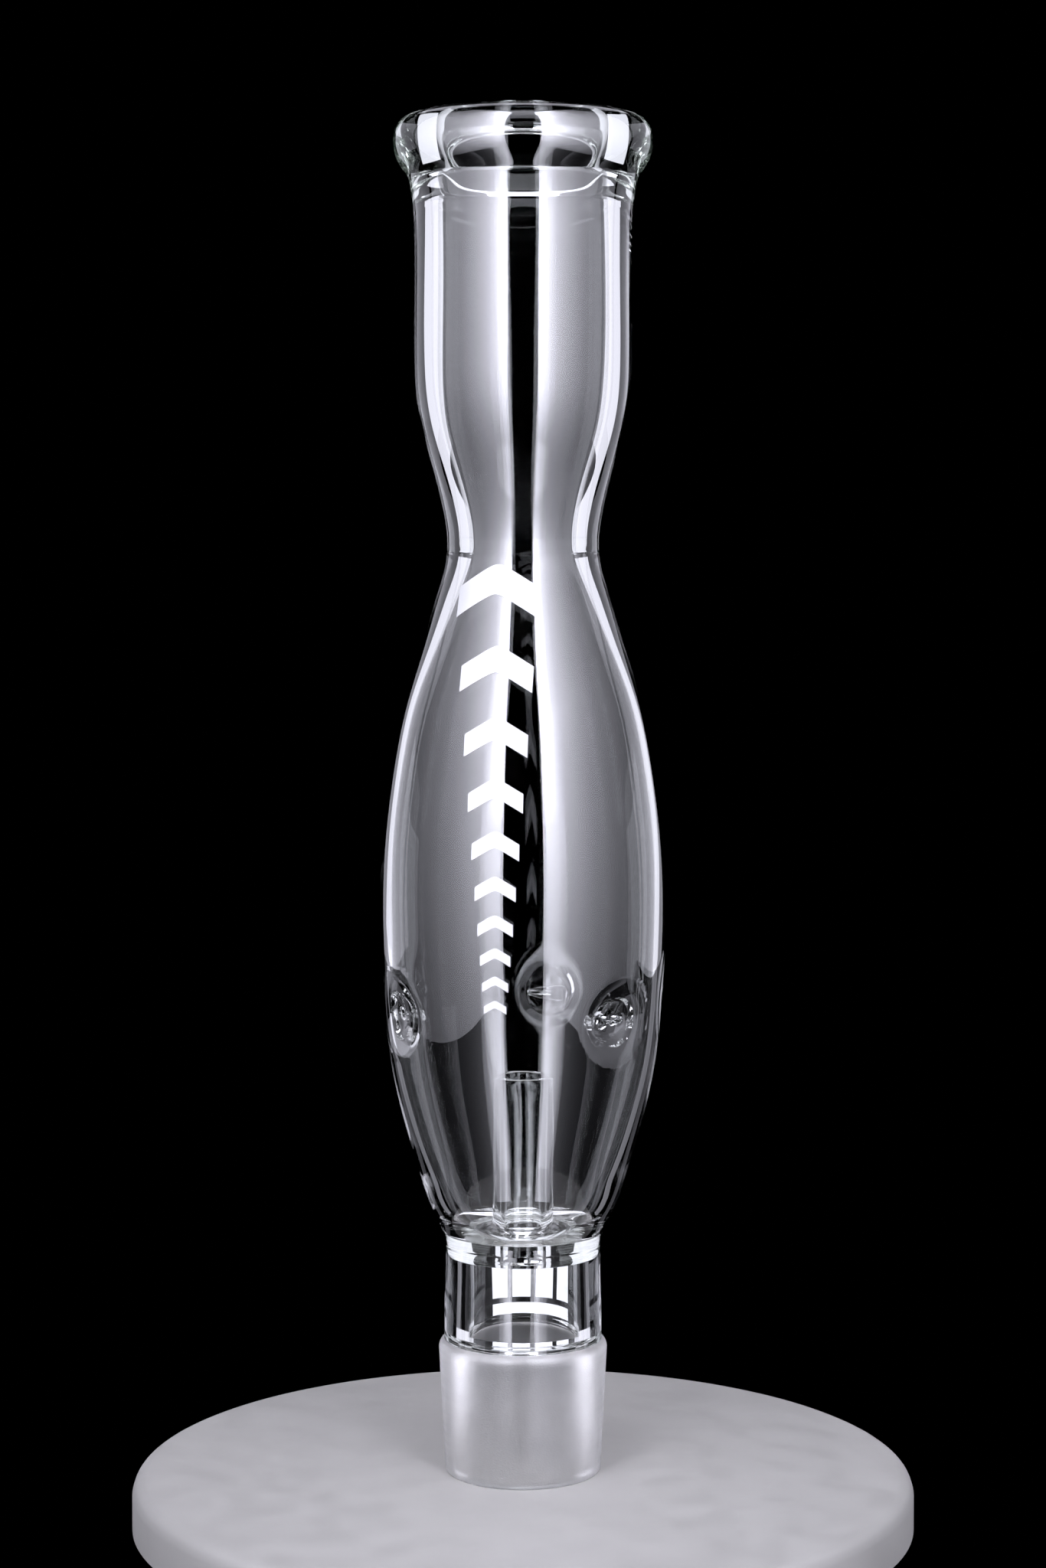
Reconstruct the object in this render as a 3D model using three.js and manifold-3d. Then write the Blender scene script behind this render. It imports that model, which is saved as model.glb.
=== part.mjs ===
// A blown-glass mouthpiece column: rolled lip, wide neck, narrow waist, egg-shaped bulb with three air inlets,
// an inner stem on a glass partition, a collar, and a hollow male taper joint at the foot.
// Units are millimetres, +Z is up, and the origin is the centre of the joint's lower end.
// The front of the object faces -Y.

import * as THREE from 'three';
import { mergeVertices } from 'three/addons/utils/BufferGeometryUtils.js';
import Module from 'manifold-3d';

const wasm = await Module();
wasm.setup();

// ---- Heights of the welds that divide the column, from the foot up ----
const JOINT_TOP = 27.4;
const JOINT_WELD_TOP = 29.2;
const COLLAR_TOP = 45;
const PARTITION_TOP = 49.6;
const BULB_TOP = 188.6;
const WAIST_WELD_TOP = 191.8;
const NECK_TOP = 259;
const LIP_TOP = 278;

// ---- Male taper joint: 34.5 mm at its wide end, 1 in 10 on the diameter ----
const TAPER_WIDE_RADIUS = 17.25;
const TAPER_SLOPE = 0.05;
const TAPER_LENGTH = 26;
const JOINT_EDGE = 0.5;
const JOINT_BORE = 12.2;
const JOINT_BORE_NARROWING = 4;
const JOINT_WELD_BORE = 10.8;

// ---- Collar and partition ----
const COLLAR_FOOT_RADIUS = 16.15;
const COLLAR_TOP_RADIUS = 15.85;
const COLLAR_BORE = 11.5;
const PARTITION_MIDDLE_RADIUS = 16;
const PARTITION_TOP_RADIUS = 16.5;

// ---- Inner stem ----
const STEM_TOP = 81.6;
const STEM_RADIUS = 6.25;
const STEM_BORE = 4.2;
const STEM_FOOT_RADIUS = 7.8;
const STEM_FOOT_HEIGHT = 2.6;
const STEM_FOOT_MIDDLE_RADIUS = 6.65;

// ---- Waist ----
const WAIST_RADIUS = 15.5;
const WAIST_BORE = 11.4;
const WAIST_WELD_BORE = 11;

// ---- Neck and lip ----
const NECK_TOP_RADIUS = 22.3;
const NECK_BORE = 17.4;

// Stations of the blown walls, as [height, outer radius, inner radius]. A smooth curve runs through them.
const BULB_STATIONS = [
  [PARTITION_TOP, PARTITION_TOP_RADIUS, 12],
  [60, 20.6, 17.6],
  [76, 25.2, 22.9],
  [94, 28.2, 26],
  [114, 29.25, 27.05],
  [140, 27.7, 25.5],
  [164, 22.4, 19.9],
  [182, 16.9, 13.6],
  [BULB_TOP, WAIST_RADIUS, WAIST_BORE],
];
const NECK_STATIONS = [
  [WAIST_WELD_TOP, WAIST_RADIUS, WAIST_BORE],
  [201, 17.1, 12.9],
  [210.5, 19.6, 15.3],
  [219, 21.5, 17],
  [228, 22.05, NECK_BORE],
  [250, 22.05, NECK_BORE],
  [NECK_TOP, NECK_TOP_RADIUS, NECK_BORE],
];

// Outline of the lip above the neck, as [radius, height], from the flare over the bead to the bore.
const LIP_FLARE = [
  [NECK_TOP_RADIUS, NECK_TOP],
  [22.7, 262.2],
  [23.3, 264.7],
];
const LIP_BEAD = [
  [23.3, 264.7],
  [25, 267.2],
  [26.45, 271.6],
  [25.3, 275.8],
  [22.4, 277.5],
  [19.8, LIP_TOP],
  [18, 277.4],
  [NECK_BORE, 275.8],
];

// ---- Air inlets: cups welded into round holes in the bulb ----
const INLET_HEIGHT = 95.5;
const INLET_ANGLES = { left: -67, right: 43, back: 167 };
const INLET_WALL_RADIUS = 28.4;
const INLET_RIM_RADIUS = 6;
const INLET_GAP = 0.3;
const INLET_DRILL_REACH = 10;
const JET_LENGTH = 8.4;
const JET_RADIUS = 1.25;
const JET_EDGE = 0.3;
const JET_TAPER_LENGTH = 3;
const JET_TIP_RADIUS = 0.65;
const JET_BORE = 0.4;
const JET_END_WALL = 1;
const JET_DEPTH = 6.6;

// Outline of a cup, as [distance from its axis, distance outward from the bulb's surface].
const CUP_OUTER = [
  [1.5, -4.9],
  [3, -4.5],
  [4.3, -3.6],
  [5.2, -2.7],
  [INLET_RIM_RADIUS, -2.2],
  [INLET_RIM_RADIUS, -0.2],
  [5, -0.4],
  [3.6, -0.9],
];
const CUP_HOLLOW = [
  [2.2, -1.3],
  [0.8, -1.5],
  [0.8, -4.9],
];

// ---- Vertices closer than this are one ----
const MERGE_DISTANCE = 1e-4;

// ---- Steps round each turned piece ----
const COLUMN_STEPS = 40;
const STEM_STEPS = 24;
const INLET_STEPS = 16;
const JET_STEPS = 12;

const glassMaterial = (roughness, color) =>
  new THREE.MeshStandardMaterial({ color, roughness, metalness: 0 });

const clearGlass = glassMaterial(0.03, 0xdfe8e4);
const thickGlass = glassMaterial(0.05, 0xd6e8dd);
const groundGlass = glassMaterial(0.6, 0xe6e8ea);

const point = ([x, y]) => new THREE.Vector2(x, y);

// A smooth run through hand-set points, cut into `cuts` steps between each pair.
function smoothRun(points, cuts) {
  const curve = new THREE.SplineCurve(points.map(point));
  return curve.getPoints((points.length - 1) * cuts);
}

// A round run of points about a centre, in the plane of the outline.
function arcRun([centreX, centreY], radius, fromDegrees, toDegrees, cuts) {
  const start = THREE.MathUtils.degToRad(fromDegrees);
  const sweep = THREE.MathUtils.degToRad(toDegrees) - start;
  return Array.from({ length: cuts + 1 }, (_, i) => {
    const angle = start + (sweep * i) / cuts;
    return new THREE.Vector2(centreX + radius * Math.cos(angle), centreY + radius * Math.sin(angle));
  });
}

// Turns a closed outline, given anticlockwise in (radius, height), about the Z axis.
function turned(outline, steps) {
  const loop = [...outline, outline[0]];
  const geometry = new THREE.LatheGeometry(loop, steps);
  geometry.rotateX(Math.PI / 2);
  return geometry;
}

// A ring whose outer and inner outlines both run upward.
function turnedRing(outer, inner, steps = COLUMN_STEPS) {
  return turned([...outer, ...[...inner].reverse()], steps);
}

function blownWall(stations, cuts) {
  const outer = smoothRun(stations.map(([height, radius]) => [radius, height]), cuts);
  const inner = smoothRun(stations.map(([height, , bore]) => [bore, height]), cuts);
  return turnedRing(outer, inner);
}

function toSolid(geometry) {
  const bare = geometry.clone();
  bare.deleteAttribute('normal');
  bare.deleteAttribute('uv');
  const merged = mergeVertices(bare, MERGE_DISTANCE);
  return new wasm.Manifold(new wasm.Mesh({
    numProp: 3,
    vertProperties: new Float32Array(merged.attributes.position.array),
    triVerts: new Uint32Array(merged.index.array),
  }));
}

function fromSolid(solid) {
  const mesh = solid.getMesh();
  const geometry = new THREE.BufferGeometry();
  geometry.setAttribute('position', new THREE.BufferAttribute(mesh.vertProperties, 3));
  geometry.setIndex(new THREE.BufferAttribute(mesh.triVerts, 1));
  geometry.computeVertexNormals();
  return geometry;
}

// Where an inlet sits: its local +Z points out of the bulb and its local +X follows the wall anticlockwise,
// seen from above.
function inletMatrix(degreesFromFront) {
  const angle = THREE.MathUtils.degToRad(degreesFromFront);
  const outward = new THREE.Vector3(Math.sin(angle), -Math.cos(angle), 0);
  const along = new THREE.Vector3(Math.cos(angle), Math.sin(angle), 0);
  const across = new THREE.Vector3().crossVectors(outward, along);
  const matrix = new THREE.Matrix4().makeBasis(along, across, outward);
  matrix.setPosition(outward.x * INLET_WALL_RADIUS, outward.y * INLET_WALL_RADIUS, INLET_HEIGHT);
  return matrix;
}

const inletMatrices = Object.fromEntries(
  Object.entries(INLET_ANGLES).map(([side, degrees]) => [side, inletMatrix(degrees)]),
);

// ---- Pieces ----

function groundJoint() {
  const taperFoot = TAPER_WIDE_RADIUS - TAPER_SLOPE * TAPER_LENGTH;
  const outer = [
    [taperFoot - JOINT_EDGE, 0],
    [taperFoot, JOINT_EDGE],
    [TAPER_WIDE_RADIUS, TAPER_LENGTH],
    [COLLAR_FOOT_RADIUS, JOINT_TOP],
  ].map(point);
  const inner = [
    [JOINT_BORE + JOINT_EDGE, 0],
    [JOINT_BORE, JOINT_EDGE],
    [JOINT_BORE, TAPER_LENGTH - JOINT_BORE_NARROWING],
    [COLLAR_BORE, JOINT_TOP],
  ].map(point);
  return turnedRing(outer, inner);
}

function weldRing(foot, top, outerRadius, bore, weldBore) {
  const middle = (foot + top) / 2;
  const outer = [[outerRadius, foot], [outerRadius, top]].map(point);
  const inner = [[bore, foot], [weldBore, middle], [bore, top]].map(point);
  return turnedRing(outer, inner);
}

function collarTube() {
  const outer = [[COLLAR_FOOT_RADIUS, JOINT_WELD_TOP], [COLLAR_TOP_RADIUS, COLLAR_TOP]].map(point);
  const inner = [[COLLAR_BORE, JOINT_WELD_TOP], [COLLAR_BORE, COLLAR_TOP]].map(point);
  return turnedRing(outer, inner);
}

function partition() {
  const outer = smoothRun([
    [COLLAR_TOP_RADIUS, COLLAR_TOP],
    [PARTITION_MIDDLE_RADIUS, (COLLAR_TOP + PARTITION_TOP) / 2],
    [PARTITION_TOP_RADIUS, PARTITION_TOP],
  ], 2);
  const inner = [[STEM_BORE, COLLAR_TOP], [STEM_BORE, PARTITION_TOP]].map(point);
  return turnedRing(outer, inner);
}

function innerStem() {
  const wall = STEM_RADIUS - STEM_BORE;
  const foot = smoothRun([
    [STEM_FOOT_RADIUS, PARTITION_TOP],
    [STEM_FOOT_MIDDLE_RADIUS, PARTITION_TOP + STEM_FOOT_HEIGHT / 2],
    [STEM_RADIUS, PARTITION_TOP + STEM_FOOT_HEIGHT],
  ], 2);
  const rim = arcRun([STEM_BORE + wall / 2, STEM_TOP - wall / 2], wall / 2, 0, 180, 6);
  return turned([...foot, ...rim, point([STEM_BORE, PARTITION_TOP])], STEM_STEPS);
}

function bulb() {
  let wall = toSolid(blownWall(BULB_STATIONS, 2));
  const holeRadius = INLET_RIM_RADIUS + INLET_GAP;
  for (const matrix of Object.values(inletMatrices)) {
    const drill = new THREE.CylinderGeometry(holeRadius, holeRadius, 2 * INLET_DRILL_REACH, INLET_STEPS);
    drill.rotateX(Math.PI / 2);
    drill.applyMatrix4(matrix);
    wall = wall.subtract(toSolid(drill));
  }
  return fromSolid(wall);
}

function inletCup() {
  return turned([...CUP_OUTER, ...CUP_HOLLOW].map(point), INLET_STEPS);
}

// The jet lies across the cup's inner end and points along the wall. Its bore is blind and opens at the tip.
function inletJet() {
  const bluntEnd = -JET_LENGTH / 2;
  const tip = JET_LENGTH / 2;
  const outline = [
    [0, bluntEnd],
    [JET_RADIUS - JET_EDGE, bluntEnd],
    [JET_RADIUS, bluntEnd + JET_EDGE],
    [JET_RADIUS, tip - JET_TAPER_LENGTH],
    [JET_TIP_RADIUS, tip],
    [JET_BORE, tip],
    [JET_BORE, bluntEnd + JET_END_WALL],
    [0, bluntEnd + JET_END_WALL],
  ].map(point);
  const geometry = new THREE.LatheGeometry(outline, JET_STEPS);
  geometry.rotateZ(-Math.PI / 2);
  geometry.translate(0, 0, -JET_DEPTH);
  return geometry;
}

function neckTube() {
  return blownWall(NECK_STATIONS, 2);
}

function lipBead() {
  const flare = smoothRun(LIP_FLARE, 1);
  const bead = smoothRun(LIP_BEAD, 2);
  return turned([...flare, ...bead.slice(1), point([NECK_BORE, NECK_TOP])], COLUMN_STEPS);
}

// ---- Assembly ----

const column = new THREE.Group();

function addPiece(name, geometry, material, matrix) {
  const mesh = new THREE.Mesh(geometry, material);
  mesh.name = name;
  if (matrix) {
    mesh.applyMatrix4(matrix);
  }
  column.add(mesh);
}

addPiece('ground_joint', groundJoint(), groundGlass);
addPiece(
  'joint_weld',
  weldRing(JOINT_TOP, JOINT_WELD_TOP, COLLAR_FOOT_RADIUS, COLLAR_BORE, JOINT_WELD_BORE),
  thickGlass,
);
addPiece('collar_tube', collarTube(), clearGlass);
addPiece('partition', partition(), thickGlass);
addPiece('inner_stem', innerStem(), clearGlass);
addPiece('bulb', bulb(), clearGlass);
for (const [side, matrix] of Object.entries(inletMatrices)) {
  addPiece(`inlet_cup_${side}`, inletCup(), thickGlass, matrix);
  addPiece(`inlet_jet_${side}`, inletJet(), thickGlass, matrix);
}
addPiece(
  'waist_weld',
  weldRing(BULB_TOP, WAIST_WELD_TOP, WAIST_RADIUS, WAIST_BORE, WAIST_WELD_BORE),
  thickGlass,
);
addPiece('neck_tube', neckTube(), clearGlass);
addPiece('lip_bead', lipBead(), thickGlass);

export default column;
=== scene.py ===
"""The looks of a blown-glass mouthpiece column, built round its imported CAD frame.

Every visible piece is turned or cut glass in the frame's own place. Lengths in the tables below are in
millimetres and become metres when a mesh is made. +Z is up and the front of the column faces -Y.
"""

import math

import bpy
import numpy as np
from mathutils import Matrix, Vector


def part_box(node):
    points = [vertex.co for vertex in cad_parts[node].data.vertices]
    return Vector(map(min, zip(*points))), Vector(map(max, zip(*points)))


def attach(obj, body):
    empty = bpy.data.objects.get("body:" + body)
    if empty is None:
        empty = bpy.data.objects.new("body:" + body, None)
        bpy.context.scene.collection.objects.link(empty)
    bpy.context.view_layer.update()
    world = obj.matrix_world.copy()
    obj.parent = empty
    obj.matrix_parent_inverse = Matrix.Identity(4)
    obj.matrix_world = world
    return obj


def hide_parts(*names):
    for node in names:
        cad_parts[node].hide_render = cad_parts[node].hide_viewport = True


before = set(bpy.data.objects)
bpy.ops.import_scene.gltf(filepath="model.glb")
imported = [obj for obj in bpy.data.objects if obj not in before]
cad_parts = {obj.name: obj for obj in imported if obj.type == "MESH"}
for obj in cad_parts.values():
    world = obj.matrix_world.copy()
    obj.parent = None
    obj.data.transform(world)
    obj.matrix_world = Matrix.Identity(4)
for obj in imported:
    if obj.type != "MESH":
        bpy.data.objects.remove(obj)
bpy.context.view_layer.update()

MM = 0.001
BODY = "root"


def heights(node):
    """The lowest and highest point of a CAD node, in millimetres."""
    low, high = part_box(node)
    return low.z / MM, high.z / MM


# ---- Where the column divides, read from the frame ----
JOINT_TOP = heights("ground_joint")[1]
JOINT_WELD_TOP = heights("joint_weld")[1]
COLLAR_TOP = heights("collar_tube")[1]
PARTITION_TOP = heights("partition")[1]
STEM_TOP = heights("inner_stem")[1]
BULB_TOP = heights("bulb")[1]
WAIST_TOP = heights("waist_weld")[1]
NECK_TOP = heights("neck_tube")[1]
LIP_TOP = heights("lip_bead")[1]

# ---- Fineness of the meshes: steps round a turned piece, and the height of a row ----
COLUMN_STEPS = 192
STEM_STEPS = 96
CUP_STEPS = 72
CUP_RINGS = 26
JET_STEPS = 32
TABLE_STEPS = 160
ROW_HEIGHT = 1.2
BULB_STEPS = 256
BULB_ROW_HEIGHT = 1.5
INLET_ROW_HEIGHT = 0.6

# The gap between pieces that the real glass has fused.
SEAM = 0.02
# Edges sharper than this many degrees stay crisp: on tubes, on cut or printed shapes, and on the lip.
TUBE_EDGE = 35
CUT_EDGE = 40
LIP_EDGE = 60

# ---- The column's outer wall, as (height, radius) ----
OUTER_STATIONS = [
    (JOINT_TOP, 16.15), (36, 16.05), (45, 15.85), (49.5, 16.4), (54.5, 18.7), (62, 21.3), (72, 24.25),
    (84, 26.95), (98, 28.5), (114, 29.25), (130, 28.7), (145, 26.85), (158, 24.2), (170, 20.5), (180, 17.5),
    (187, 15.65), (191, 15.4), (197, 16.2), (205, 18.15), (213, 20.3), (220, 21.6), (227, 22), (240, 22),
    (254, 22.05), (260, 22.45), (264.7, 23.3),
]
# ---- Its inner wall above the partition ----
BORE_STATIONS = [
    (PARTITION_TOP, 11.8), (53, 14.6), (60, 18), (72, 21.9), (84, 24.7), (98, 26.3), (114, 27.05),
    (130, 26.5), (145, 24.55), (158, 21.8), (170, 17.6), (180, 14), (187, 11.8), (191, 11.3), (197, 11.9),
    (205, 13.8), (213, 15.9), (220, 17), (227, 17.4), (254, 17.4), (LIP_TOP, 17.4),
]
LIP_BEAD = [
    (23.3, 264.7), (24.1, 265.8), (25.5, 268), (26.4, 271.4), (25.6, 275.1), (23.6, 276.9), (21.2, 277.6),
    (19.6, LIP_TOP), (18.2, 277.5), (17.5, 276.2), (17.4, 274.6),
]

# The soft ring left inside the neck where the lip was turned out, as (foot, top).
LIP_FOLD = (259.5, 266)
LIP_FOLD_DEPTH = -0.14
LIP_BORE_END = LIP_BEAD[-1][1] - 1.5

# ---- How far a weld swells the outer wall, and narrows the bore ----
WAIST_SWELL_OUTSIDE = 0.02
WAIST_SWELL_INSIDE = -0.06

# ---- Collar, partition and stem ----
COLLAR_BORE = 11.5
PARTITION_DISH = 0.35
# How far the partition's underside hangs below its rim, as (radius, droop).
PARTITION_DROOP = [(8, 0.35), (COLLAR_BORE, 0)]
PARTITION_DROOP_AT_BORE = 0.5
PARTITION_BORE_FOOT = 0.3
STEM_RADIUS = 6.25
STEM_BORE = 4.2
STEM_FOOT_RADIUS = 7.8
STEM_FOOT_HEIGHT = 2.6
# The curve of the stem's foot between its edge and the plain tube, as (radius, height above the partition).
STEM_FLARE = [(6.9, 0.6), (6.4, 1.5)]

# ---- Ground joint ----
TAPER_WIDE_RADIUS = 17.25
TAPER_FOOT_RADIUS = 15.95
TAPER_LENGTH = 26
TAPER_FOOT_EDGE = 0.5
SHOULDER_DROP = 0.4
SHOULDER = [(17.05, 26.3), (16.5, 27.05)]
SHOULDER_RADIUS = 16.15
JOINT_BORE = 12.2
# The rounded mouth of the bore, and where it narrows to the collar's, as (radius, height).
JOINT_MOUTH = [(JOINT_BORE + 0.5, 0), (JOINT_BORE + 0.12, 0.2), (JOINT_BORE, 0.6)]
JOINT_THROAT = [(JOINT_BORE, 1.5), (JOINT_BORE, 20), (12, 24)]
JOINT_WELD_BORE = 10.8

# ---- Air inlets ----
INLET_HEIGHT = 95.5
INLET_ANGLES = {"left": -67, "right": 43, "back": 167}
CUP_RADIUS = 5
CUP_CENTRE = 0.25
CUP_SEAM = 0.03
DRILL_REACH = 10
# How far the wall's outer and inner surfaces sink toward the axis round an inlet, as (reach, depth).
OUTER_DIMPLE = [
    (0, -2.1), (1.2, -2), (2.6, -1.65), (3.8, -1.2), (5, -0.85), (6.5, -0.45), (8, -0.14), (9.6, 0),
]
INNER_DIMPLE = [
    (0, -3.1), (1.4, -3), (2.8, -2.55), (4, -1.75), (5, -1.15), (6.5, -0.5), (8, -0.13), (9.6, 0),
]
DIMPLE_REACH = OUTER_DIMPLE[-1][0]
# A dimple is worked out where the cosine of the angle from its axis is over this, in so many rounds.
DIMPLE_COSINE = 0.5
DIMPLE_ROUNDS = 6
JET_LENGTH = 8.4
JET_DEPTH = 5.1
# The jet's outside, as (radius, distance along it from the middle).
JET_OUTLINE = [
    (0, -4.2), (0.9, -4.2), (1.2, -3.9), (1.25, 0), (1.15, 1.6), (0.7, 3.6), (0.55, 4.2), (0, 4.2),
]
JET_BORE = 0.35
# The bore starts just behind the pinhole and runs out of the jet's far end.
JET_BORE_START = -1
JET_POINTS = 40

# ---- How far hand-blown walls stray from true: the height of the largest wave, in millimetres ----
OUTER_WANDER = 0.03
INNER_WANDER = 0.09
CUP_LUMP = 0.06


# ======== Curves ========

def natural_spline(x, y):
    """The smooth curve y(x) through some points, with no bend at its ends."""
    x, y = np.asarray(x, float), np.asarray(y, float)
    count, step, rise = len(x), np.diff(x), np.diff(y)
    system, load = np.eye(count), np.zeros(count)
    for i in range(1, count - 1):
        system[i, i - 1:i + 2] = step[i - 1], 2 * (step[i - 1] + step[i]), step[i]
        load[i] = 6 * (rise[i] / step[i] - rise[i - 1] / step[i - 1])
    bend = np.linalg.solve(system, load)

    def curve(at):
        at = np.clip(at, x[0], x[-1])
        i = np.clip(np.searchsorted(x, at, side="right") - 1, 0, count - 2)
        h, a, b = step[i], x[i + 1] - at, at - x[i]
        return (
            (bend[i] * a**3 + bend[i + 1] * b**3) / (6 * h)
            + (y[i] / h - bend[i] * h / 6) * a
            + (y[i + 1] / h - bend[i + 1] * h / 6) * b
        )

    return curve


def smooth_run(points, count):
    """A smooth run of count points through some given ones."""
    points = np.asarray(points, float)
    travel = np.concatenate([[0], np.cumsum(np.hypot(*np.diff(points, axis=0).T))])
    at = np.linspace(0, travel[-1], count)
    return np.stack([natural_spline(travel, points[:, k])(at) for k in (0, 1)], axis=1)


outer_wall = natural_spline(*zip(*OUTER_STATIONS))
bore_wall = natural_spline(*zip(*BORE_STATIONS))


def outer_wander(angle, height):
    """How far the outer surface strays from round, in millimetres."""
    return OUTER_WANDER * (
        np.sin(2 * angle + height / 31) + 0.6 * np.sin(3 * angle - height / 17) + 0.5 * np.sin(height / 9)
    )


def inner_wander(angle, height):
    """How far the inner surface strays from round, in millimetres."""
    return INNER_WANDER * (
        np.sin(2 * angle - height / 23 + 1) + 0.5 * np.sin(4 * angle + height / 11)
        + 0.7 * np.sin(height / 7 + 2)
    )


outer_dimple = natural_spline(*zip(*OUTER_DIMPLE))
inner_dimple = natural_spline(*zip(*INNER_DIMPLE))


def dimpled(radius, angle, height, dimple):
    """The radius of a wall after it sinks round each inlet, along the inlet's own axis."""
    up = height - INLET_HEIGHT
    nominal = radius
    for degrees in INLET_ANGLES.values():
        turn = angle + math.pi / 2 - math.radians(degrees)
        near = (np.cos(turn) > DIMPLE_COSINE) & (np.abs(up) < DIMPLE_REACH)
        cosine = np.where(near, np.cos(turn), 1)
        for _ in range(DIMPLE_ROUNDS):
            along = radius * np.sin(turn)
            sunk = np.sqrt(np.maximum(nominal**2 - along**2, 0)) + dimple(np.hypot(along, up))
            radius = np.where(near, sunk / cosine, radius)
    return radius


def outer_radius(angle, height):
    """The bulb's outer surface, dimples and all."""
    return dimpled(outer_wall(height) + outer_wander(angle, height), angle, height, outer_dimple)


def bore_radius(angle, height):
    """The bulb's inner surface, dimples and all."""
    return dimpled(bore_wall(height) + inner_wander(angle, height), angle, height, inner_dimple)


# ======== Meshes ========

def new_object(name, vertices, faces, smooth=True):
    """A mesh object from vertices in millimetres."""
    mesh = bpy.data.meshes.new(name)
    mesh.from_pydata((np.asarray(vertices) * MM).tolist(), [], faces)
    mesh.update()
    mesh.polygons.foreach_set("use_smooth", [smooth] * len(mesh.polygons))
    piece = bpy.data.objects.new(name, mesh)
    bpy.context.scene.collection.objects.link(piece)
    return piece


def ring_points(radius, angle, height):
    """Points round the axis at one height, where radius is a number or one value for each angle."""
    return np.stack([radius * np.cos(angle), radius * np.sin(angle), np.full(len(angle), height)], axis=1)


def grid_faces(rows, columns, closed=True):
    """Quads of an outline of rows points, closed or open, turned through columns steps."""
    return [
        (r * columns + c, r * columns + (c + 1) % columns,
         (r + 1) % rows * columns + (c + 1) % columns, (r + 1) % rows * columns + c)
        for r in range(rows if closed else rows - 1) for c in range(columns)
    ]


def revolve(name, outer, inner, steps=COLUMN_STEPS, hard_edge=TUBE_EDGE):
    """Turns a ring from outer and inner outlines, both of them (radius, height) and both running upward.

    Each outline strays from round by its own surface's wander.
    """
    outer, inner = np.asarray(outer, float), np.asarray(inner, float)[::-1]
    angle = np.arange(steps) * 2 * math.pi / steps
    rows = []
    for outline, wander in ((outer, outer_wander), (inner, inner_wander)):
        for radius, height in outline:
            rows.append(ring_points(radius + wander(angle, height), angle, height))
    piece = new_object(name, np.concatenate(rows), grid_faces(len(rows), steps))
    piece.data.set_sharp_from_angle(angle=math.radians(hard_edge))
    return piece


def wall_rows(foot, top):
    """Heights from foot to top, clear of the seams at both ends."""
    count = max(3, round((top - foot) / ROW_HEIGHT))
    return np.linspace(foot + SEAM / 2, top - SEAM / 2, count)


def blown_ring(name, foot, top, outer=outer_wall, inner=bore_wall):
    """A length of the column's wall."""
    at = wall_rows(foot, top)
    return revolve(name, np.stack([outer(at), at], axis=1), np.stack([inner(at), at], axis=1))


def finish_piece(piece, slot, nodes, *materials):
    """Gives a piece its finish and its place in the frame. Clear glass lets light through to the print."""
    for material in materials:
        piece.data.materials.append(material)
    piece.visible_shadow = GROUND_GLASS in materials
    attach(piece, BODY)
    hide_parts(*nodes)
    return piece


def boolean(piece, tool, operation):
    """Joins or cuts piece with tool, and removes tool."""
    step = piece.modifiers.new("cut", "BOOLEAN")
    step.operation = operation
    step.solver = "EXACT"
    step.object = tool
    evaluated = piece.evaluated_get(bpy.context.evaluated_depsgraph_get())
    result = bpy.data.meshes.new_from_object(evaluated)
    piece.modifiers.clear()
    piece.data = result
    bpy.data.objects.remove(tool)
    return piece


# ======== Materials ========

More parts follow.
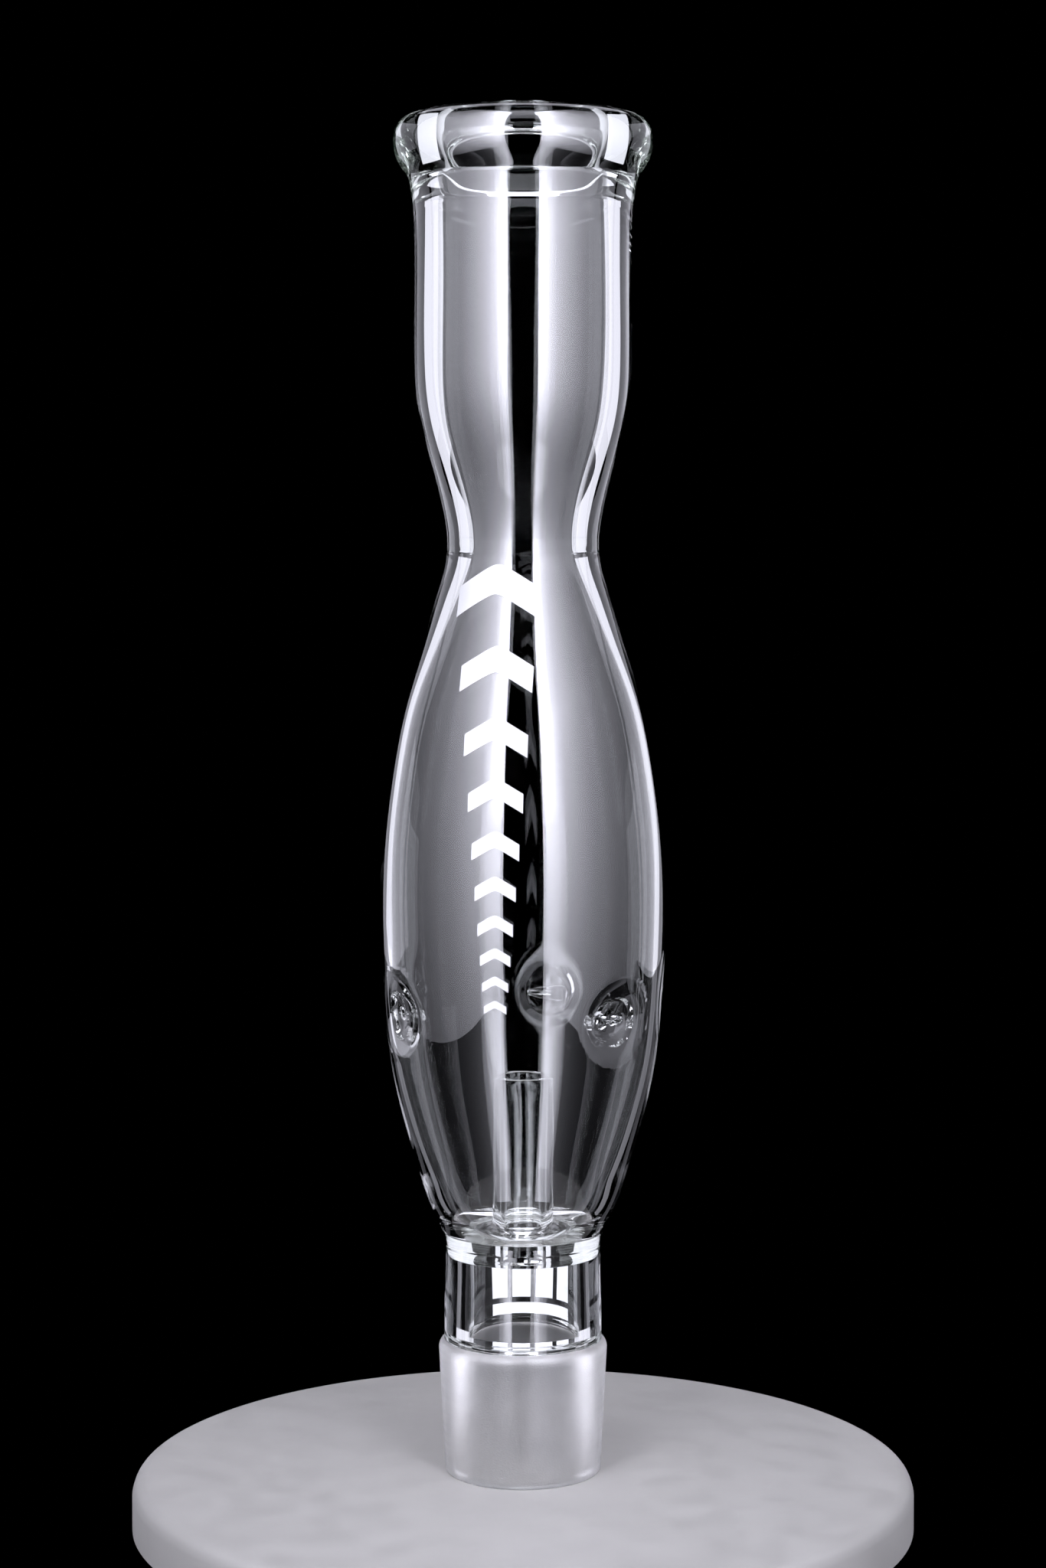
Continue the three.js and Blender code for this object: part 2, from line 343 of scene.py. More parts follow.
class Nodes:
    """A material's node tree, with short ways to add the detail that all the glass shares."""

    def __init__(self, name):
        self.material = bpy.data.materials.new(name)
        self.material.use_nodes = True
        self.tree = self.material.node_tree
        self.shader = self.tree.nodes["Principled BSDF"]
        self.output = self.tree.nodes["Material Output"]
        self.place = self.tree.nodes.new("ShaderNodeTexCoord").outputs["Object"]

    def set(self, **values):
        """Sets the shader's own sockets. An underscore stands for a space."""
        for name, value in values.items():
            self.shader.inputs[name.replace("_", " ")].default_value = value

    def stretched(self, scale):
        """Object coordinates multiplied by scale along X, Y and Z."""
        node = self.tree.nodes.new("ShaderNodeMapping")
        node.inputs["Scale"].default_value = scale
        self.tree.links.new(self.place, node.inputs["Vector"])
        return node.outputs["Vector"]

    def noise(self, scale, detail=2.0):
        """A cloudy pattern from 0 to 1, with its number of waves a metre along X, Y and Z."""
        node = self.tree.nodes.new("ShaderNodeTexNoise")
        node.inputs["Scale"].default_value = 1
        node.inputs["Detail"].default_value = detail
        self.tree.links.new(self.stretched(scale), node.inputs["Vector"])
        return node.outputs["Fac"]

    def spread(self, pattern, low, high, start=0.35, end=0.65):
        """Maps a pattern to the range from low to high."""
        node = self.tree.nodes.new("ShaderNodeMapRange")
        self.tree.links.new(pattern, node.inputs["Value"])
        node.inputs["From Min"].default_value = start
        node.inputs["From Max"].default_value = end
        node.inputs["To Min"].default_value = low
        node.inputs["To Max"].default_value = high
        return node.outputs["Result"]

    def roughness(self, source):
        """Takes the surface's roughness from a pattern."""
        self.tree.links.new(source, self.shader.inputs["Roughness"])

    def tint(self, pattern, first, second):
        """Base colour that drifts between two colours."""
        node = self.tree.nodes.new("ShaderNodeMix")
        node.data_type = "RGBA"
        self.tree.links.new(pattern, node.inputs["Factor"])
        node.inputs["A"].default_value = (*first, 1)
        node.inputs["B"].default_value = (*second, 1)
        self.tree.links.new(node.outputs["Result"], self.shader.inputs["Base Color"])

    def bump(self, pattern, distance):
        """Raises the surface by up to distance millimetres where the pattern is high."""
        node = self.tree.nodes.new("ShaderNodeBump")
        node.inputs["Distance"].default_value = distance * MM
        self.tree.links.new(pattern, node.inputs["Height"])
        self.tree.links.new(node.outputs["Normal"], self.shader.inputs["Normal"])

    def absorb(self, color, density):
        """Tints the light by how far it travels inside the glass."""
        node = self.tree.nodes.new("ShaderNodeVolumeAbsorption")
        node.inputs["Color"].default_value = (*color, 1)
        node.inputs["Density"].default_value = density
        self.tree.links.new(node.outputs["Volume"], self.output.inputs["Volume"])


GLASS_IOR = 1.474


def clear_glass(name, density, striation):
    """Fire-polished borosilicate: fine drawn striations, faint haze, and a green cast in the thickness."""
    nodes = Nodes(name)
    nodes.set(IOR=GLASS_IOR, Transmission_Weight=1.0)
    nodes.tint(nodes.noise((40, 40, 12)), (0.985, 1, 0.99), (1, 1, 1))
    nodes.roughness(nodes.spread(nodes.noise((90, 90, 25), 4), 0.0, 0.025, 0.5, 0.8))
    nodes.bump(nodes.noise((60, 60, 14), 1), striation)
    if density:
        nodes.absorb((0.8, 0.97, 0.78), density)
    return nodes.material


def ground_glass(name):
    """The ground taper: an even frost with cloudy patches and fine rings from the grinding."""
    nodes = Nodes(name)
    nodes.set(IOR=GLASS_IOR, Transmission_Weight=0.92)
    clouds = nodes.spread(nodes.noise((80, 80, 40), 5), 0, 1, 0.45, 0.7)
    nodes.tint(clouds, (0.74, 0.73, 0.72), (0.96, 0.95, 0.96))
    nodes.roughness(nodes.spread(nodes.noise((60, 60, 900), 3), 0.34, 0.46))
    nodes.bump(nodes.noise((2600, 2600, 3400), 3), 0.05)
    return nodes.material


def enamel(name):
    """White print, fired on: slightly uneven in gloss and in thickness."""
    nodes = Nodes(name)
    nodes.set(IOR=1.5)
    nodes.tint(nodes.noise((220, 220, 220), 4), (0.86, 0.87, 0.89), (0.95, 0.95, 0.96))
    nodes.roughness(nodes.spread(nodes.noise((700, 700, 700), 3), 0.3, 0.45))
    nodes.bump(nodes.noise((1500, 1500, 1500), 3), 0.02)
    return nodes.material


def matte(name, first, second):
    """The dull, faintly clouded paint of the table."""
    nodes = Nodes(name)
    nodes.tint(nodes.noise((25, 25, 25), 5), first, second)
    nodes.roughness(nodes.spread(nodes.noise((120, 120, 120), 3), 0.55, 0.7))
    return nodes.material


THIN_GLASS = clear_glass("clear_glass", density=0, striation=0.006)
THICK_GLASS = clear_glass("thick_glass", density=5, striation=0.01)
GROUND_GLASS = ground_glass("ground_glass")
WHITE_ENAMEL = enamel("white_enamel")


# ======== The column, from the foot up ========

def joint():
    """The hollow taper. Its outside is ground and its bore is fire-polished."""
    edge = TAPER_FOOT_EDGE
    turn = np.radians(np.linspace(-90, 0, 6))
    foot = np.stack([TAPER_FOOT_RADIUS - edge + edge * np.cos(turn), edge + edge * np.sin(turn)], axis=1)
    top = JOINT_TOP - SEAM / 2
    taper_rows = np.linspace(edge, TAPER_LENGTH - SHOULDER_DROP, 24)[1:]
    taper_radius = np.interp(taper_rows, [edge, TAPER_LENGTH], [TAPER_FOOT_RADIUS, TAPER_WIDE_RADIUS])
    shoulder = smooth_run([(taper_radius[-1], taper_rows[-1]), *SHOULDER, (SHOULDER_RADIUS, top)], count=8)
    outer = np.concatenate([foot, np.stack([taper_radius, taper_rows], axis=1), shoulder[1:]])
    inner = [*smooth_run(JOINT_MOUTH, count=5), *smooth_run([*JOINT_THROAT, (COLLAR_BORE, top)], count=24)]
    piece = revolve("ground_joint", outer, inner)
    ground_faces = (len(outer) - 1) * COLUMN_STEPS
    finish_piece(piece, "ground_glass", ["ground_joint"], GROUND_GLASS, THIN_GLASS)
    count = len(piece.data.polygons)
    piece.data.polygons.foreach_set("material_index", [int(i >= ground_faces) for i in range(count)])
    return piece


def swelling(foot, top, wall, amount):
    """The wall with a low round swelling between foot and top, as a weld leaves."""
    middle, half = (foot + top) / 2, (top - foot) / 2
    return lambda at: wall(at) + amount * np.clip(1 - ((at - middle) / half) ** 2, 0, 1) ** 2


def collar_bore(at):
    """The plain bore of the collar."""
    return np.full_like(at, COLLAR_BORE)


def joint_weld():
    """The ring weld that joins the taper to the collar."""
    bore = swelling(JOINT_TOP, JOINT_WELD_TOP, collar_bore, JOINT_WELD_BORE - COLLAR_BORE)
    at = np.linspace(JOINT_TOP + SEAM / 2, JOINT_WELD_TOP - SEAM / 2, 9)
    piece = revolve("joint_weld", np.stack([outer_wall(at), at], axis=1), np.stack([bore(at), at], axis=1))
    finish_piece(piece, "thick_glass", ["joint_weld"], THICK_GLASS)


def collar():
    """The plain tube under the partition."""
    piece = blown_ring("collar_tube", JOINT_WELD_TOP, COLLAR_TOP, inner=collar_bore)
    finish_piece(piece, "clear_glass", ["collar_tube"], THIN_GLASS)


def partition():
    """The solid web: its underside droops a little and its top is dished round the stem."""
    foot, top = COLLAR_TOP + SEAM / 2, PARTITION_TOP - SEAM / 2
    floor_radius = bore_wall(PARTITION_TOP)
    droop = [(STEM_BORE, PARTITION_DROOP_AT_BORE), *PARTITION_DROOP]
    underside = smooth_run([(radius, foot - depth) for radius, depth in droop], count=10)
    dish = smooth_run(
        [(floor_radius, top), ((floor_radius + STEM_FOOT_RADIUS) / 2, top - PARTITION_DISH),
         (STEM_FOOT_RADIUS, top)], count=9)
    at = np.linspace(foot, top, 7)
    wall = np.stack([outer_wall(at), at], axis=1)
    outer = np.concatenate([underside, wall, dish])
    inner = [(STEM_BORE, height) for height in np.linspace(foot - PARTITION_BORE_FOOT, top, 5)]
    piece = revolve("partition", outer, inner)
    finish_piece(piece, "thick_glass", ["partition"], THICK_GLASS)


def stem():
    """The short tube on the partition, flared at its foot and fire-polished at its rim."""
    foot = PARTITION_TOP + SEAM / 2
    wall = STEM_RADIUS - STEM_BORE
    flare = smooth_run(
        [(radius, foot + height) for radius, height in
         ((STEM_FOOT_RADIUS, 0), *STEM_FLARE, (STEM_RADIUS, STEM_FOOT_HEIGHT))], count=12)
    rim_foot = STEM_TOP - wall / 2
    rise = [(STEM_RADIUS, height) for height in np.linspace(foot + STEM_FOOT_HEIGHT, rim_foot, 20)[1:-1]]
    turn = np.radians(np.linspace(0, 180, 15))
    rim = np.stack([STEM_BORE + wall / 2 * (1 + np.cos(turn)), rim_foot + wall / 2 * np.sin(turn)], axis=1)
    inner = [(STEM_BORE, height) for height in np.linspace(foot, rim_foot, 20)[:-1]]
    piece = revolve("inner_stem", np.concatenate([flare, rise, rim]), inner, steps=STEM_STEPS)
    finish_piece(piece, "clear_glass", ["inner_stem"], THIN_GLASS)


def inlet_axes(degrees):
    """Outward and along the wall, anticlockwise seen from above, for an angle measured from the front."""
    angle = math.radians(degrees)
    outward = np.array([math.sin(angle), -math.cos(angle), 0])
    along = np.array([math.cos(angle), math.sin(angle), 0])
    return outward, along


INLET_WALL_RADIUS = float(outer_wall(INLET_HEIGHT))
UP = np.array([0, 0, 1])


def inlet_matrix(degrees):
    """An inlet's own frame: +X along the wall, +Y up and +Z outward, at the wall's outer surface."""
    outward, along = inlet_axes(degrees)
    matrix = np.eye(4)
    matrix[:3, :3] = np.stack([along, UP, outward], axis=1)
    matrix[:3, 3] = outward * INLET_WALL_RADIUS + UP * INLET_HEIGHT
    return matrix


def turned_solid(name, outline, steps, matrix):
    """A solid turned about the matrix's +Z axis, from (radius, height) points that start and end on it."""
    angle = np.arange(steps) * 2 * math.pi / steps
    rings = [ring_points(radius, angle, height) for radius, height in outline[1:-1]]
    ends = np.array([[0, 0, outline[0][1]], [0, 0, outline[-1][1]]])
    return capped_rings(name, rings, ends, matrix)


def rod(name, radius, foot, top, steps, matrix):
    """A plain round rod along the matrix's +Z axis."""
    return turned_solid(name, [(0, foot), (radius, foot), (radius, top), (0, top)], steps, matrix)


def capped_rings(name, rings, ends, matrix):
    """Closes a stack of rings with a fan at each end, and moves it to its place."""
    steps, count = len(rings[0]), len(rings)
    vertices = np.concatenate([*rings, ends])
    start, end = count * steps, count * steps + 1
    faces = grid_faces(count, steps, closed=False)
    faces += [(start, (c + 1) % steps, c) for c in range(steps)]
    last = (count - 1) * steps
    faces += [(end, last + c, last + (c + 1) % steps) for c in range(steps)]
    placed = vertices @ matrix[:3, :3].T + matrix[:3, 3]
    return new_object(name, placed, faces)


def bulb():
    """The long chamber, sunk and cut for the three inlets, with its surfaces' true normals."""
    foot, top = PARTITION_TOP + SEAM / 2, BULB_TOP - SEAM / 2
    zone = DIMPLE_REACH + 1
    at = np.concatenate([
        np.arange(foot, INLET_HEIGHT - zone, BULB_ROW_HEIGHT),
        np.arange(INLET_HEIGHT - zone, INLET_HEIGHT + zone, INLET_ROW_HEIGHT),
        np.linspace(INLET_HEIGHT + zone, top, round((top - INLET_HEIGHT - zone) / BULB_ROW_HEIGHT)),
    ])
    angle = np.arange(BULB_STEPS) * 2 * math.pi / BULB_STEPS
    rows = []
    for radius_at, heights_up in ((outer_radius, at), (bore_radius, at[::-1])):
        for height in heights_up:
            rows.append(ring_points(radius_at(angle, np.full(BULB_STEPS, height)), angle, height))
    piece = new_object("bulb", np.concatenate(rows), grid_faces(len(rows), BULB_STEPS))
    radius = CUP_RADIUS + CUP_SEAM
    for degrees in INLET_ANGLES.values():
        drill = rod("drill", radius, -DRILL_REACH, DRILL_REACH, 2 * CUP_STEPS, inlet_matrix(degrees))
        boolean(piece, drill, "DIFFERENCE")
    true_normals(piece)
    finish_piece(piece, "clear_glass", ["bulb"], THIN_GLASS)


def surface_normals(points, radius_at, sign):
    """The unit normals of a wall whose radius is radius_at(angle, height), at some points on it."""
    angle, height = np.arctan2(points[:, 1], points[:, 0]), points[:, 2]
    small = 0.01
    radius = radius_at(angle, height)
    turn = (radius_at(angle + small, height) - radius_at(angle - small, height)) / (2 * small * radius)
    rise = (radius_at(angle, height + small) - radius_at(angle, height - small)) / (2 * small)
    out = np.stack([np.cos(angle), np.sin(angle), np.zeros_like(angle)], axis=1)
    side = np.stack([-np.sin(angle), np.cos(angle), np.zeros_like(angle)], axis=1)
    normals = out - turn[:, None] * side - rise[:, None] * UP
    return sign * normals / np.linalg.norm(normals, axis=1, keepdims=True)


def true_normals(piece):
    """Shades the cut bulb with the normals of the curved walls, so that the cuts leave no marks on them."""
    mesh = piece.data
    points = np.array([vertex.co for vertex in mesh.vertices]) / MM
    angle, height = np.arctan2(points[:, 1], points[:, 0]), points[:, 2]
    radius = np.hypot(points[:, 0], points[:, 1])
    tolerance = 0.02
    facing = 0.9
    on_outer = np.abs(radius - outer_radius(angle, height)) < tolerance
    on_inner = np.abs(radius - bore_radius(angle, height)) < tolerance
    outer_normals = surface_normals(points, outer_radius, 1)
    inner_normals = surface_normals(points, bore_radius, -1)
    normals = np.zeros((len(mesh.loops), 3))
    for face in mesh.polygons:
        corners = list(face.vertices)
        loops = list(face.loop_indices)
        face_normal = np.array(face.normal)
        if on_outer[corners].all() and face_normal @ outer_normals[corners[0]] > facing:
            normals[loops] = outer_normals[corners]
        elif on_inner[corners].all() and face_normal @ inner_normals[corners[0]] > facing:
            normals[loops] = inner_normals[corners]
        else:
            normals[loops] = face_normal
    mesh.normals_split_custom_set(normals.tolist())


def cup_lumps(along, up, phase):
    """The uneven surface that the torch leaves on a cup."""
    broad = np.sin(1.3 * along + phase) * np.sin(1.1 * up + 2 * phase)
    return CUP_LUMP * (broad + 0.5 * np.sin(2.9 * up + phase))


def cup_rings(degrees, nominal_at, wander, dimple):
    """Rings of an inlet's surface from its rim to its axis, in the inlet's own frame."""
    steps, phase = CUP_STEPS, math.radians(degrees)
    angle = np.arange(steps) * 2 * math.pi / steps
    rings = []
    for reach in np.linspace(CUP_RADIUS, CUP_CENTRE, CUP_RINGS):
        along, up = reach * np.cos(angle), reach * np.sin(angle)
        height = INLET_HEIGHT + up
        nominal = nominal_at(height)
        turn = np.arcsin(along / nominal)
        nominal = nominal + wander(turn - math.pi / 2 + phase, height)
        depth = np.sqrt(nominal**2 - along**2) + dimple(np.full(steps, reach)) - INLET_WALL_RADIUS
        depth = depth + (1 - (reach / CUP_RADIUS) ** 2) * cup_lumps(along, up, phase)
        rings.append(np.stack([along, up, depth], axis=1))
    return rings


def inlet(side, degrees):
    """A thick dished lens in the wall with a fine jet across its inner face, in one melt."""
    front = cup_rings(degrees, outer_wall, outer_wander, outer_dimple)
    back = cup_rings(degrees, bore_wall, inner_wander, inner_dimple)
    ends = np.array([[0, 0, front[-1][:, 2].mean()], [0, 0, back[-1][:, 2].mean()]])
    matrix = inlet_matrix(degrees)
    cup = capped_rings(f"air_inlet_{side}", front[::-1] + back, ends, matrix)

    jet_matrix = matrix.copy()
    jet_matrix[:3, :3] = np.stack([matrix[:3, 1], matrix[:3, 2], matrix[:3, 0]], axis=1)
    jet_matrix[:3, 3] -= matrix[:3, 2] * JET_DEPTH
    boolean(cup, turned_solid("jet", smooth_run(JET_OUTLINE, JET_POINTS), JET_STEPS, jet_matrix), "UNION")
    boolean(cup, rod("bore", JET_BORE, JET_BORE_START, JET_LENGTH, JET_STEPS, jet_matrix), "DIFFERENCE")
    boolean(cup, rod("pinhole", JET_BORE, -JET_DEPTH, 0, JET_STEPS, matrix), "DIFFERENCE")
    cup.data.polygons.foreach_set("use_smooth", [True] * len(cup.data.polygons))
    cup.data.set_sharp_from_angle(angle=math.radians(CUT_EDGE))
    finish_piece(cup, "thick_glass", [f"inlet_cup_{side}", f"inlet_jet_{side}"], THICK_GLASS)


def waist_weld():
    """The ring weld that joins the bulb to the neck."""
    outer = swelling(BULB_TOP, WAIST_TOP, outer_wall, WAIST_SWELL_OUTSIDE)
    inner = swelling(BULB_TOP, WAIST_TOP, bore_wall, WAIST_SWELL_INSIDE)
    at = np.linspace(BULB_TOP + SEAM / 2, WAIST_TOP - SEAM / 2, 13)
    piece = revolve("waist_weld", np.stack([outer(at), at], axis=1), np.stack([inner(at), at], axis=1))
    finish_piece(piece, "thick_glass", ["waist_weld"], THICK_GLASS)


def neck():
    """The wide tube over the waist."""
    piece = blown_ring("neck_tube", WAIST_TOP, NECK_TOP)
    finish_piece(piece, "clear_glass", ["neck_tube"], THIN_GLASS)


def lip():
    """The flare and the rolled bead, with a soft fold inside."""
    bead_foot = LIP_BEAD[0][1]
    flare_rows = np.linspace(NECK_TOP + SEAM / 2, bead_foot, 8)[:-1]
    flare = np.stack([outer_wall(flare_rows), flare_rows], axis=1)
    outer = np.concatenate([flare, smooth_run(LIP_BEAD, count=60)])
    inner_rows = np.linspace(NECK_TOP + SEAM / 2, LIP_BORE_END, 28)
    fold = swelling(*LIP_FOLD, bore_wall, LIP_FOLD_DEPTH)
    piece = revolve("lip_bead", outer, np.stack([fold(inner_rows), inner_rows], axis=1), hard_edge=LIP_EDGE)
    finish_piece(piece, "thick_glass", ["lip_bead"], THICK_GLASS)


# ======== Printed marks ========
# Plain shapes of white enamel on the outside of the glass.

PRINT_LIFT = 0.02
PRINT_THICKNESS = 0.07
CHEVRON_COUNT = 10
CHEVRON_TOP = 179
CHEVRON_WIDTH = 17.5
CHEVRON_SHRINK = 0.86
CHEVRON_PITCH = 0.86
CHEVRON_STROKE = 0.34
CHEVRON_RISE = 0.3
CHEVRON_TIP = 0.06
CHEVRON_OFFSET = -5.5
BLOCK_COUNT = 4
BLOCK_WIDTH = 4.9
BLOCK_GAP = 1.4
BLOCK_FOOT = 31.8
BLOCK_HEIGHT = 8.6
BAR_FOOT = 28.9
BAR_HEIGHT = 1.7
BLOCKS_OFFSET = 3
COLLAR_RADIUS = 15.9


def printed_sheet(vertices, faces, across, up, centre_angle):
    """Adds a closed thin slab over the outer wall. across and up are grids of millimetres."""
    start, shape = len(vertices), across.shape
    radius = outer_wall(up)
    angle = centre_angle + across / radius
    for lift in (PRINT_LIFT, PRINT_LIFT + PRINT_THICKNESS):
        at = radius + outer_wander(angle, up) + lift
        vertices.extend(np.stack([at * np.cos(angle), at * np.sin(angle), up], axis=-1).reshape(-1, 3))
    rows, columns = shape
    layer = rows * columns

    def vertex(level, row, column):
        return start + level * layer + row * columns + column

    for r in range(rows - 1):
        for c in range(columns - 1):
            quad = [vertex(1, r, c), vertex(1, r, c + 1), vertex(1, r + 1, c + 1), vertex(1, r + 1, c)]
            faces.append(quad)
            faces.append([v - layer for v in reversed(quad)])
    rim = [(0, c) for c in range(columns)] + [(r, columns - 1) for r in range(1, rows)]
    rim += [(rows - 1, c) for c in range(columns - 2, -1, -1)] + [(r, 0) for r in range(rows - 2, 0, -1)]
    for (r0, c0), (r1, c1) in zip(rim, rim[1:] + rim[:1]):
        faces.append([vertex(0, r0, c0), vertex(0, r1, c1), vertex(1, r1, c1), vertex(1, r0, c0)])


def front_angle(height):
    """The direction of the print's centre line at a height, kept at one distance left of the middle."""
    return -math.pi / 2 + math.asin(CHEVRON_OFFSET / float(outer_wall(height)))


def chevrons():
    """A column of chevrons that shrink downward. Their stroke, slope and tip are shares of their width."""
    vertices, faces = [], []
    width, height = CHEVRON_WIDTH, CHEVRON_TOP
    for _ in range(CHEVRON_COUNT):
        across, step = np.meshgrid(np.linspace(-width / 2, width / 2, 33), np.linspace(-0.5, 0.5, 9))
        slope = CHEVRON_RISE * (width / 2 - np.sqrt(across**2 + (CHEVRON_TIP * width) ** 2)) * 2
        up = height + slope + step * CHEVRON_STROKE * width
        printed_sheet(vertices, faces, across, up, front_angle(height))
        height -= CHEVRON_PITCH * width
        width *= CHEVRON_SHRINK
    place_print("printed_chevrons", vertices, faces)


def collar_blocks():
    """A row of upright blocks over a thin bar, on the collar's back."""
    vertices, faces = [], []
    middle = math.pi / 2 - math.asin(BLOCKS_OFFSET / COLLAR_RADIUS)
    pitch = BLOCK_WIDTH + BLOCK_GAP
    total = BLOCK_COUNT * BLOCK_WIDTH + (BLOCK_COUNT - 1) * BLOCK_GAP
    shapes = [(-total / 2 + i * pitch, BLOCK_WIDTH, BLOCK_FOOT, BLOCK_HEIGHT) for i in range(BLOCK_COUNT)]
    shapes.append((-total / 2, total, BAR_FOOT, BAR_HEIGHT))
    for left, wide, low, tall in shapes:
        across, up = np.meshgrid(np.linspace(left, left + wide, 17), np.linspace(low, low + tall, 7))
        printed_sheet(vertices, faces, across, up, middle)
    place_print("printed_blocks", vertices, faces)


def place_print(name, vertices, faces):
    """Makes a printed mark in white enamel."""
    piece = new_object(name, vertices, faces)
    piece.data.set_sharp_from_angle(angle=math.radians(CUT_EDGE))
    piece.data.materials.append(WHITE_ENAMEL)
    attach(piece, BODY)


# ======== Studio ========

TABLE_RADIUS = 80
TABLE_THICKNESS = 10
TABLE_EDGE = 3
TABLE_EDGE_BULGE = 0.9

# ---- Panels and camera, in metres and degrees ----
PANEL_COLOR = (0.88, 0.88, 1)
# The height where the bright front panels end and the dim ones start, and where the rear ones do.
FRONT_PANEL_FOOT = 0.01
REAR_PANEL_FOOT = -0.42
LOW_PANEL_FOOT = -0.6
# The share of a panel's height over which it dims toward its foot.
FOOT_FADE = 0.25
CAMERA_DISTANCE = 0.686
CAMERA_HEIGHT = 0.203
CAMERA_LENS = 77.3
CAMERA_TILT = 2.4
CAMERA_SHIFT = -0.1028


def table():
    """A round pale table top under the joint."""
    edge = smooth_run(
        [(TABLE_RADIUS - TABLE_EDGE, 0), (TABLE_RADIUS - TABLE_EDGE_BULGE, -TABLE_EDGE_BULGE),
         (TABLE_RADIUS, -TABLE_EDGE)], count=9)
    outline = [(0, 0), *edge, (TABLE_RADIUS, -TABLE_THICKNESS), (0, -TABLE_THICKNESS)][::-1]
    piece = turned_solid("table", outline, TABLE_STEPS, np.eye(4))
    piece.data.set_sharp_from_angle(angle=math.radians(CUT_EDGE))
    piece.data.materials.append(matte("pale_table", (0.43, 0.42, 0.4), (0.47, 0.46, 0.44)))


def softbox(name, side, near, far, low, high, brightness, glow=5, foot=1, hidden_from=()):
    """An upright panel of soft light between two points in plan, facing the column.

    side is 1 for the right and -1 for the left. near and far are (degrees from the front, distance).
    brightness is how white it looks at near. It falls to half that at glow, a share of the panel's width,
    and dims toward its lower edge, where the share foot of it is left.
    hidden_from names the kinds of light path that do not meet the panel, besides the camera's.
    """
    near, far = plan(side, *near), plan(side, *far)
    light = bpy.data.lights.new(name, "AREA")
    light.shape = "RECTANGLE"
    light.size = (far - near).length
    light.size_y = high - low
    light.energy = brightness * math.pi * light.size * light.size_y
    light.color = PANEL_COLOR

    middle = (near + far) / 2 + Vector((0, 0, (low + high) / 2))
    beam = Vector((-middle.x, -middle.y, 0))
    beam -= beam.project(far - near)
    right = Vector((0, 0, 1)).cross(-beam.normalized())
    start = 0 if right.dot(far - near) > 0 else 1

    light.use_nodes = True
    tree = light.node_tree
    place = tree.nodes.new("ShaderNodeNewGeometry").outputs["Parametric"]
    split = tree.nodes.new("ShaderNodeSeparateXYZ")
    tree.links.new(place, split.inputs["Vector"])
    strength = split.outputs["X"]
    for operation, value, value_first in (
            ("SUBTRACT", start, False), ("ABSOLUTE", 0, False), ("DIVIDE", glow, False), ("POWER", 3, False),
            ("ADD", 1, False), ("DIVIDE", 1, True)):
        step = tree.nodes.new("ShaderNodeMath")
        step.operation = operation
        step.inputs[0 if value_first else 1].default_value = value
        tree.links.new(strength, step.inputs[1 if value_first else 0])
        strength = step.outputs["Value"]
    fade = tree.nodes.new("ShaderNodeMapRange")
    tree.links.new(split.outputs["Y"], fade.inputs["Value"])
    fade.inputs["From Max"].default_value = FOOT_FADE
    fade.inputs["To Min"].default_value = foot
    product = tree.nodes.new("ShaderNodeMath")
    product.operation = "MULTIPLY"
    tree.links.new(strength, product.inputs[0])
    tree.links.new(fade.outputs["Result"], product.inputs[1])
    tree.links.new(product.outputs["Value"], tree.nodes["Emission"].inputs["Strength"])

    panel = bpy.data.objects.new(name, light)
    panel.matrix_world = Matrix.Translation(middle) @ beam.to_track_quat("-Z", "Y").to_matrix().to_4x4()
    for path in ("camera", *hidden_from):
        setattr(panel, f"visible_{path}", False)
    bpy.context.scene.collection.objects.link(panel)
    return panel


def plan(side, degrees, distance):
    """A point on the ground, at an angle from the front towards the right or the left."""
    angle = math.radians(side * degrees)
    return Vector((distance * math.sin(angle), -distance * math.cos(angle), 0))


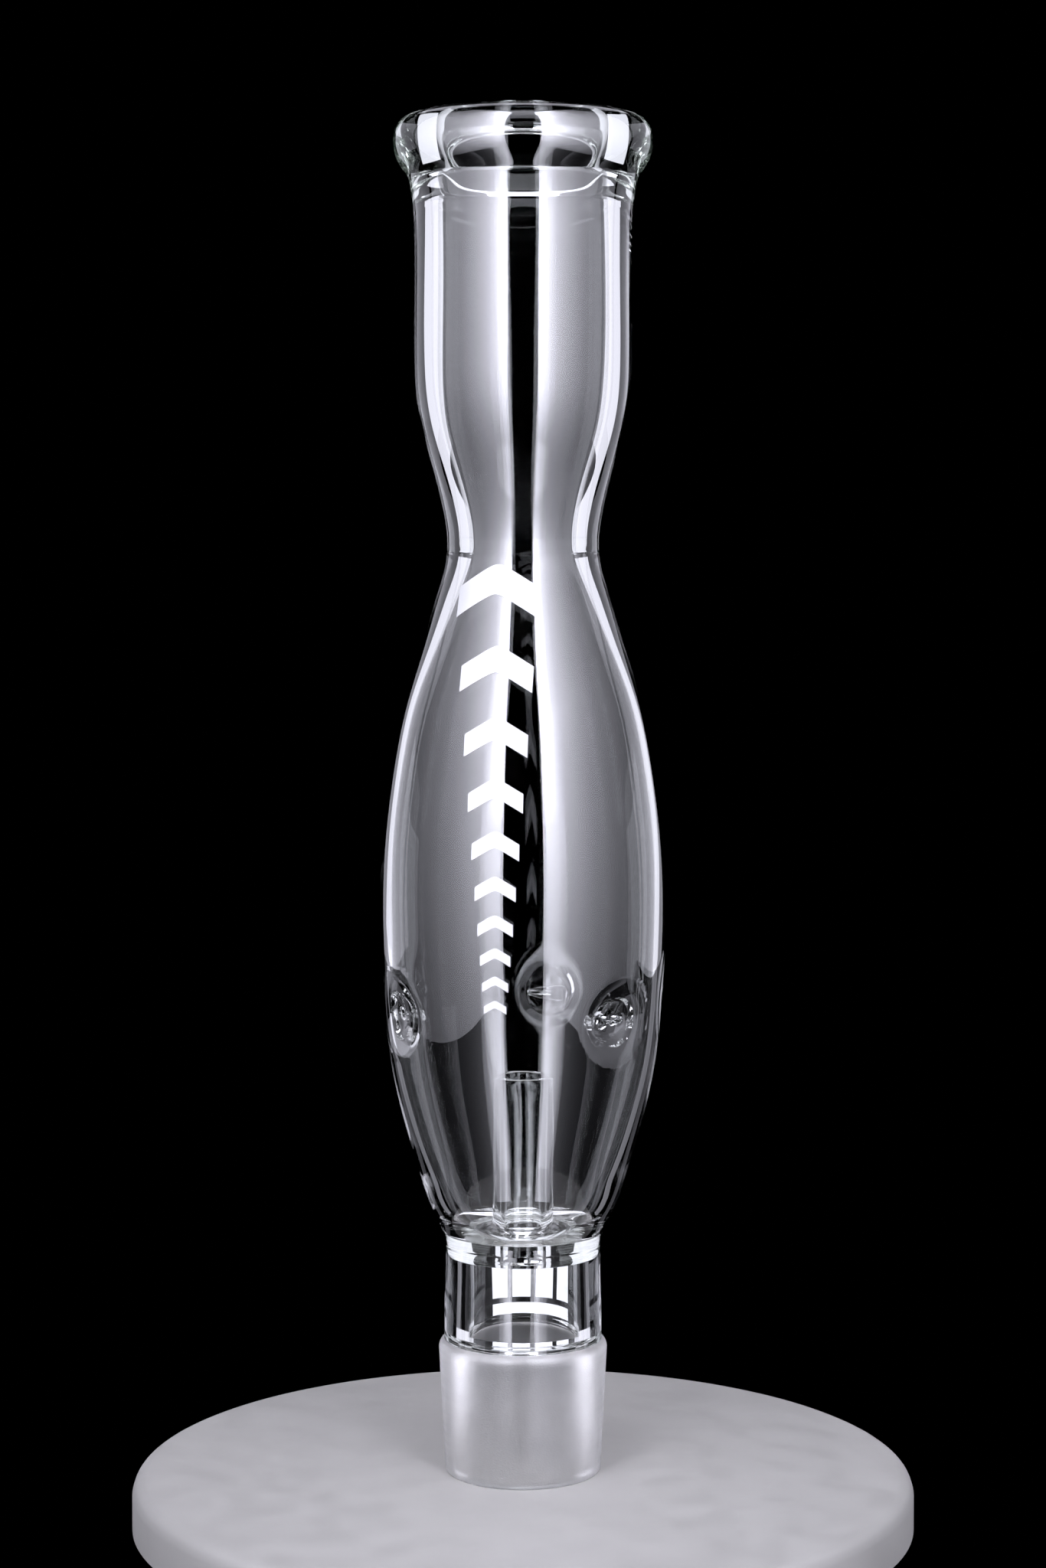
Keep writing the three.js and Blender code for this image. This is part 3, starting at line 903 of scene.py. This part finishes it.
def studio(frosted_piece):
    """Soft panels round the column, in a black room. The side panels light the frosted piece alone."""
    world = bpy.data.worlds.new("studio")
    world.use_nodes = True
    world.node_tree.nodes["Background"].inputs["Color"].default_value = (0, 0, 0, 1)
    scene = bpy.context.scene
    scene.world = world
    scene.view_settings.view_transform = "Standard"
    scene.cycles.max_bounces = 32
    scene.cycles.transmission_bounces = 32
    scene.cycles.glossy_bounces = 16
    side_lit = bpy.data.collections.new("side_lit")
    side_lit.objects.link(frosted_piece)
    all_but_mirrored = ("diffuse", "transmission")
    for side in (-1, 1):
        softbox("mirror_softbox", side, near=(15.5, 0.4), far=(106, 0.36), low=FRONT_PANEL_FOOT, high=1.1,
                brightness=26, glow=0.42, foot=0.28, hidden_from=all_but_mirrored)
        softbox("front_softbox", side, near=(18, 0.4), far=(34, 0.39), low=FRONT_PANEL_FOOT, high=0.7,
                brightness=4.5, glow=1, foot=0.28)
        softbox("mirror_softbox", side, near=(15.5, 0.4), far=(106, 0.36), low=LOW_PANEL_FOOT,
                high=FRONT_PANEL_FOOT, brightness=7, glow=0.18, hidden_from=all_but_mirrored)
        softbox("front_softbox", side, near=(18, 0.4), far=(34, 0.39), low=LOW_PANEL_FOOT,
                high=FRONT_PANEL_FOOT, brightness=4.5, glow=1)
        for start, end in ((56, 68), (92, 80), (100, 112)):
            softbox("low_softbox", side, near=(start, 0.45), far=(end, 0.45), low=LOW_PANEL_FOOT,
                    high=-0.02, brightness=1, glow=0.4, hidden_from=all_but_mirrored)
        side_panel = softbox("side_softbox", side, near=(142, 0.4), far=(98, 0.4), low=-0.1, high=0.12,
                             brightness=2)
        side_panel.light_linking.receiver_collection = side_lit
        softbox("rear_softbox", side, near=(112, 2.7), far=(152, 3.3), low=REAR_PANEL_FOOT, high=1.4,
                brightness=1.05)
        softbox("rear_low_softbox", side, near=(140, 3), far=(152, 3.3), low=-1.9, high=REAR_PANEL_FOOT,
                brightness=0.25)
    overhead_softbox(y=-0.45, z=0.95, width=0.6, depth=0.8, brightness=3)
    overhead_softbox(y=0.55, z=0.85, width=0.4, depth=0.7, brightness=1.6)


def overhead_softbox(y, z, width, depth, brightness):
    """A panel high above the column's middle line, tipped to face it."""
    light = bpy.data.lights.new("overhead_softbox", "AREA")
    light.shape = "RECTANGLE"
    light.size, light.size_y = width, depth
    light.energy = brightness * math.pi * light.size * light.size_y
    light.color = PANEL_COLOR
    panel = bpy.data.objects.new("overhead_softbox", light)
    panel.location = (0, y, z)
    panel.rotation_euler = Vector((0, -y, -z)).to_track_quat("-Z", "X").to_euler()
    panel.visible_camera = False
    bpy.context.scene.collection.objects.link(panel)


def camera():
    """The view from the front, a little above the column's middle."""
    data = bpy.data.cameras.new("camera")
    data.lens = CAMERA_LENS
    data.shift_y = CAMERA_SHIFT
    view = bpy.data.objects.new("camera", data)
    view.location = (0, -CAMERA_DISTANCE, CAMERA_HEIGHT)
    view.rotation_euler = (math.radians(90 - CAMERA_TILT), 0, 0)
    bpy.context.scene.collection.objects.link(view)
    bpy.context.scene.camera = view


camera()
table()
FROSTED_PIECE = joint()
joint_weld()
collar()
partition()
stem()
bulb()
for side, degrees in INLET_ANGLES.items():
    inlet(side, degrees)
waist_weld()
neck()
lip()
chevrons()
collar_blocks()
studio(FROSTED_PIECE)
